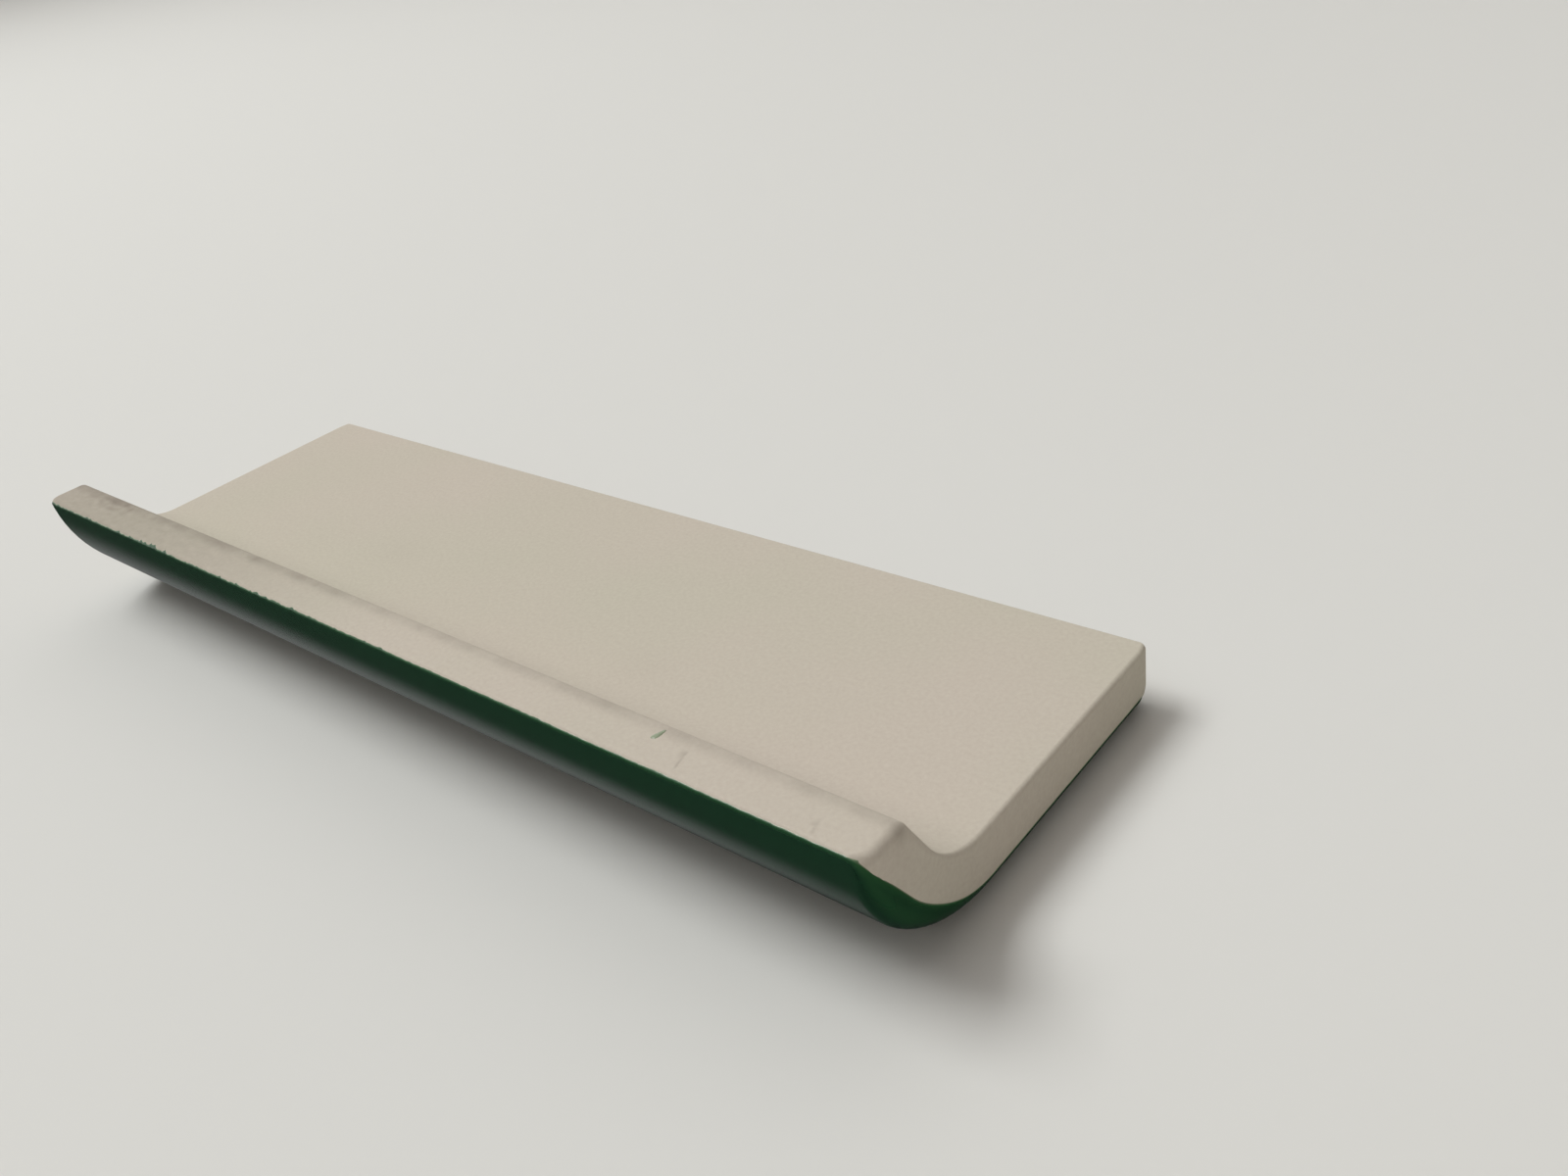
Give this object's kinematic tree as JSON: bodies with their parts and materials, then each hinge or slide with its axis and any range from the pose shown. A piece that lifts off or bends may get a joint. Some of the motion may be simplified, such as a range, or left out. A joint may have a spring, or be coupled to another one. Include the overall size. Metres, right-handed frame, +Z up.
{
  "type": "ceramic edge trim tile",
  "caption": "Glazed ceramic edge-trim tile: a flat slab with a rounded nose and turned-up lip, bare clay on the back and green glaze on the face.",
  "frame": {"origin": "middle of the underside of the box round the tile, on the plane of the glazed face", "axes": "+X along the tile's length, +Y from the turned-up lip to the far edge, +Z up out of the bare back"},
  "size_m": [0.1524, 0.0508, 0.0187],
  "materials": {
    "biscuit_clay": "matte, fine-grained bare fired clay",
    "green_glaze": "glossy dark bottle-green glaze"
  },
  "bodies": {
    "root": {"clay_body": "biscuit_clay", "glaze_coat": "green_glaze", "stray_glaze_fleck": "green_glaze"}
  },
  "joints": []
}
